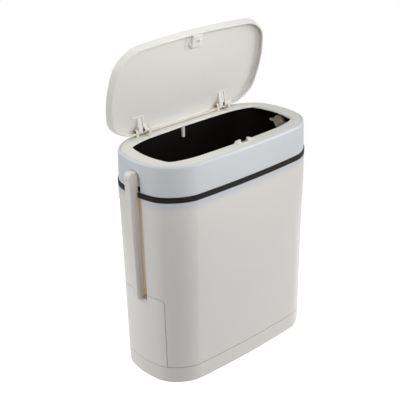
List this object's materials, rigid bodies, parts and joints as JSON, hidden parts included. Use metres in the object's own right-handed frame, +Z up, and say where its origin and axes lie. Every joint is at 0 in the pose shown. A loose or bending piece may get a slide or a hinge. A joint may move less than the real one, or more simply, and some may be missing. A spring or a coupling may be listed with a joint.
{
  "type": "kitchen trash can",
  "caption": "Slim waste bin with a black lift-out bucket, a white collar, a spring lid shown open, and a brush stowed in its left end.",
  "frame": {"origin": "middle of the plinth's flat underside", "axes": "+Z up, +X along the long side away from the brush, -Y the front, where the latch is"},
  "size_m": [0.3104, 0.1512, 0.4785],
  "materials": {
    "shell_white": "satin moulded",
    "rim_white": "semi-gloss moulded",
    "bucket_black": "satin moulded",
    "clip_beige": "satin moulded",
    "latch_grey": "satin moulded",
    "steel": "drawn",
    "pad_rubber": "matt",
    "brush_rubber": "matt"
  },
  "bodies": {
    "body": {"outer_shell": "shell_white", "base_plinth": "shell_white", "base_pad_1": "pad_rubber", "base_pad_2": "pad_rubber", "base_pad_3": "pad_rubber", "base_pad_4": "pad_rubber", "plinth_screw_1": "steel", "plinth_screw_2": "steel", "plinth_screw_3": "steel", "plinth_screw_4": "steel", "drip_cup": "latch_grey"},
    "bucket": {"inner_bucket": "bucket_black", "clip_pin_right": "rim_white", "clip_pin_left": "rim_white"},
    "collar": {"collar_shell": "shell_white", "top_frame": "rim_white", "frame_screw_1": "steel", "frame_screw_2": "steel", "frame_screw_3": "steel", "frame_screw_4": "steel", "hinge_pin_left": "steel", "hinge_pin_right": "steel", "hinge_spring_left": "steel", "hinge_spring_right": "steel", "latch_housing": "rim_white", "latch_cover": "rim_white", "latch_spring": "steel", "bag_peg": "rim_white", "rim_pad_1": "rim_white", "rim_pad_2": "rim_white"},
    "lid": {"lid_shell": "shell_white", "lid_hook": "rim_white", "hook_screw_1": "steel", "hook_screw_2": "steel"},
    "latch": {"latch_slider": "latch_grey"},
    "clip_right": {"clip_right": "clip_beige"},
    "clip_left": {"clip_left": "clip_beige"},
    "brush": {"brush_handle": "shell_white", "brush_neck": "shell_white", "brush_head": "brush_rubber"}
  },
  "joints": [
    {"name": "bucket_lift", "type": "slide", "parent": "body", "child": "bucket", "axis": [0, 0, 1], "range_m": [0, 0.3]},
    {"name": "collar_lift", "type": "slide", "parent": "bucket", "child": "collar", "axis": [0, 0, 1], "range_m": [0, 0.06]},
    {"name": "lid_hinge", "type": "hinge", "parent": "collar", "child": "lid", "pos_m": [0, 0.0639, 0.3444], "axis": [1, 0, 0], "range_deg": [0, 76.5], "stiffness_Nm_per_rad": 0.09, "springref_deg": -34.38, "deforming": ["hinge_spring_left", "hinge_spring_right"]},
    {"name": "latch_press", "type": "slide", "parent": "collar", "child": "latch", "axis": [0, 0, -1], "range_m": [0, 0.004], "stiffness_N_per_m": 400, "springref_m": -0.001, "deforming": ["latch_spring"]},
    {"name": "clip_right_turn", "type": "hinge", "parent": "bucket", "child": "clip_right", "pos_m": [0.1355, 0, 0.3177], "axis": [1, 0, 0], "range_deg": [0, 40]},
    {"name": "clip_left_turn", "type": "hinge", "parent": "bucket", "child": "clip_left", "pos_m": [-0.1222, 0, 0.3177], "axis": [1, 0, 0], "range_deg": [0, 40]},
    {"name": "brush_pull", "type": "slide", "parent": "body", "child": "brush", "axis": [-1, 0, 0], "range_m": [0, 0.12]}
  ]
}
